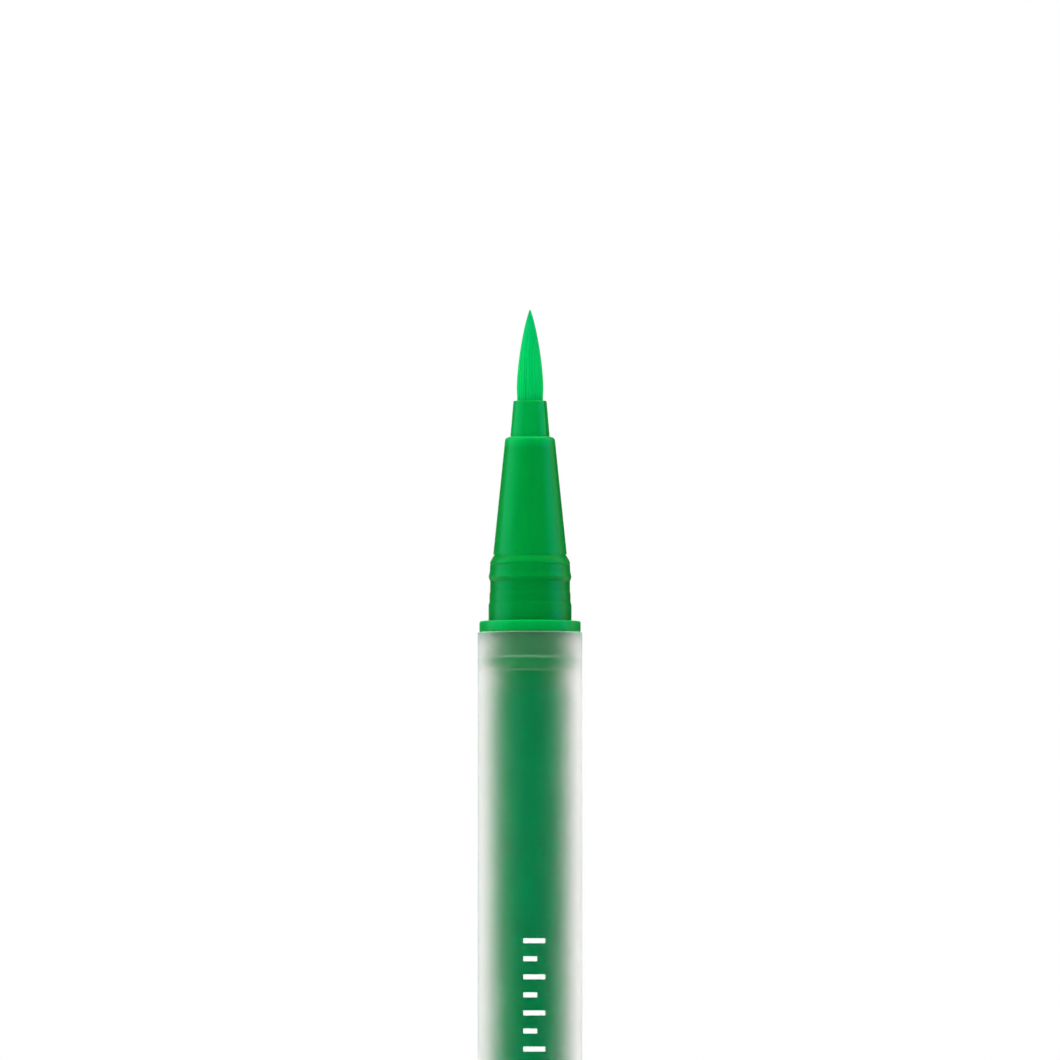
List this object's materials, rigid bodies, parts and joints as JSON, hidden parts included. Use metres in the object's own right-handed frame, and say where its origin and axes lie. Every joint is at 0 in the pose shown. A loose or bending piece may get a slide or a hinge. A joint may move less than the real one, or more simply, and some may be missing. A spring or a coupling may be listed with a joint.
{
  "type": "liquid eyeliner pen",
  "caption": "Slim round eyeliner pen with a pointed brush tip, a frosted barrel over an ink-soaked core, and a pull-off cap posted on its tail.",
  "frame": {"origin": "centre of the posted cap's closed end, on the surface that the pen stands on", "axes": "+Z along the pen's axis towards the brush tip, -Y towards the viewer of the picture, +X to the viewer's right"},
  "size_m": [0.0102, 0.0102, 0.1564],
  "materials": {
    "green_plastic": "satin green moulded plastic",
    "seal_plastic": "natural translucent white plastic",
    "frosted_plastic": "frosted clear plastic",
    "ink_fibre": "ink-soaked polyester fibre",
    "clear_film": "thin clear film",
    "wick_fibre": "bonded fibre rod",
    "bristle": "fine nylon filaments, bright green"
  },
  "bodies": {
    "cap": {"cap_shell": "green_plastic", "inner_cap": "seal_plastic"},
    "pen": {"tail_plug": "green_plastic", "barrel": "frosted_plastic", "reservoir_core": "ink_fibre", "reservoir_film": "clear_film", "feed_wick": "wick_fibre", "front_section": "green_plastic", "brush_retainer": "seal_plastic", "tip_holder": "green_plastic", "brush_tuft": "bristle"}
  },
  "joints": [
    {"name": "cap_pull", "type": "slide", "parent": "cap", "child": "pen", "axis": [0, 0, 1], "range_m": [0, 0.015]}
  ]
}
